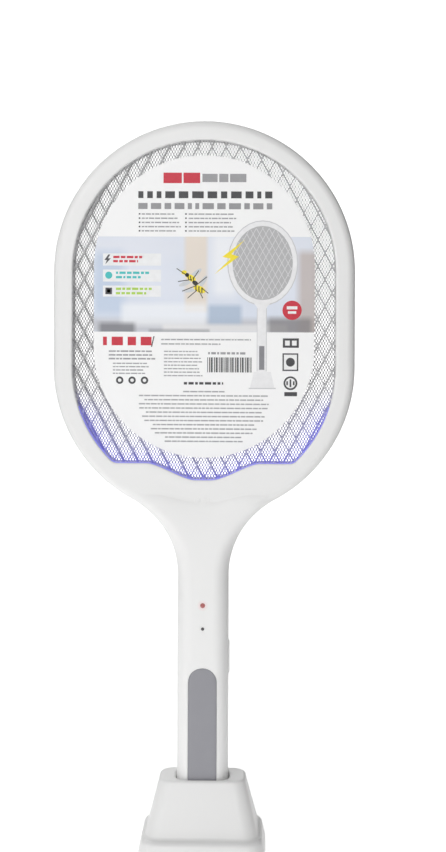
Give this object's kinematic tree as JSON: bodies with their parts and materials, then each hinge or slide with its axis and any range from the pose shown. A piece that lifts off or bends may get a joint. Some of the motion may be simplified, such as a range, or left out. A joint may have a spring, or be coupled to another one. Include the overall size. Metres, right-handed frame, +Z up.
{
  "type": "electric fly swatter",
  "caption": "Rechargeable electric fly swatter with an oval metal-grid head, violet lure light and side trigger key, standing in its charging dock.",
  "frame": {"origin": "on the surface the dock stands on, under the middle of the dock", "axes": "+Z up along the racket, -Y towards the viewer of the front, +X to the viewer's right"},
  "size_m": [0.218, 0.076, 0.5272],
  "materials": {
    "white_casing": "satin injection-moulded white ABS",
    "bright_steel": "zinc plated",
    "grid_metal": "bright expanded mesh",
    "spacer_plastic": "white insulating plastic",
    "circuit_board": "green solder mask",
    "contact_brass": "gold flashed",
    "lead_sleeve": "PVC insulation, red, black and blue",
    "rubber_foot": "matte",
    "violet_band": "frosted, lit from behind by violet light",
    "violet_led": "lit chips",
    "transformer_tape": "yellow tape",
    "red_epoxy": "dipped epoxy",
    "black_parts": "black moulding compound",
    "red_lens": "clear red, lit",
    "dark_lens": "smoked, unlit",
    "grey_grip": "soft grey elastomer",
    "cell_can": "nickel plated can",
    "blue_sleeve": "shrunk sleeve",
    "printed_card": null
  },
  "bodies": {
    "dock": {"dock_shell": "white_casing", "dock_bottom": "white_casing", "dock_screws": "bright_steel", "dock_feet": "rubber_foot", "dock_board": "circuit_board", "dock_usb_socket": "bright_steel", "dock_contact_studs": "contact_brass", "dock_leads": "lead_sleeve"},
    "racket": {"front_shell": "white_casing", "rear_shell": "white_casing", "front_grid": "grid_metal", "live_grid": "grid_metal", "rear_grid": "grid_metal", "front_spacer": "spacer_plastic", "rear_spacer": "spacer_plastic", "light_band": "violet_band", "uv_led_strip": "circuit_board", "uv_leds": "violet_led", "main_board": "circuit_board", "transformer": "transformer_tape", "film_capacitor": "red_epoxy", "multiplier_parts": "black_parts", "control_chips": "black_parts", "indicator_leds": "violet_led", "charge_light_lens": "red_lens", "mode_light_lens": "dark_lens", "trigger_switch": "black_parts", "mode_switch": "bright_steel", "grip_inlay": "grey_grip", "battery_cell": "cell_can", "battery_sleeve": "blue_sleeve", "battery_tabs": "bright_steel", "battery_leads": "lead_sleeve", "charge_leads": "lead_sleeve", "grid_leads": "lead_sleeve", "light_leads": "lead_sleeve", "end_cap": "white_casing", "contact_plates": "contact_brass", "shell_screws": "bright_steel"},
    "trigger": {"trigger_key": "white_casing", "trigger_stem": "red_epoxy"},
    "mode_knob": {"mode_knob": "white_casing"},
    "card": {"display_card": "printed_card"}
  },
  "joints": [
    {"name": "racket_lift", "type": "slide", "parent": "dock", "child": "racket", "axis": [0, 0, 1], "range_m": [0, 0.06]},
    {"name": "trigger_press", "type": "slide", "parent": "racket", "child": "trigger", "axis": [-1, 0, 0], "range_m": [0, 0.0012], "stiffness_N_per_m": 900, "springref_m": -0.0008},
    {"name": "mode_slide", "type": "slide", "parent": "racket", "child": "mode_knob", "axis": [0, 0, 1], "range_m": [0, 0.004]},
    {"name": "card_lift_off", "type": "slide", "parent": "racket", "child": "card", "axis": [0, -1, 0], "range_m": [0, 0.04]}
  ]
}
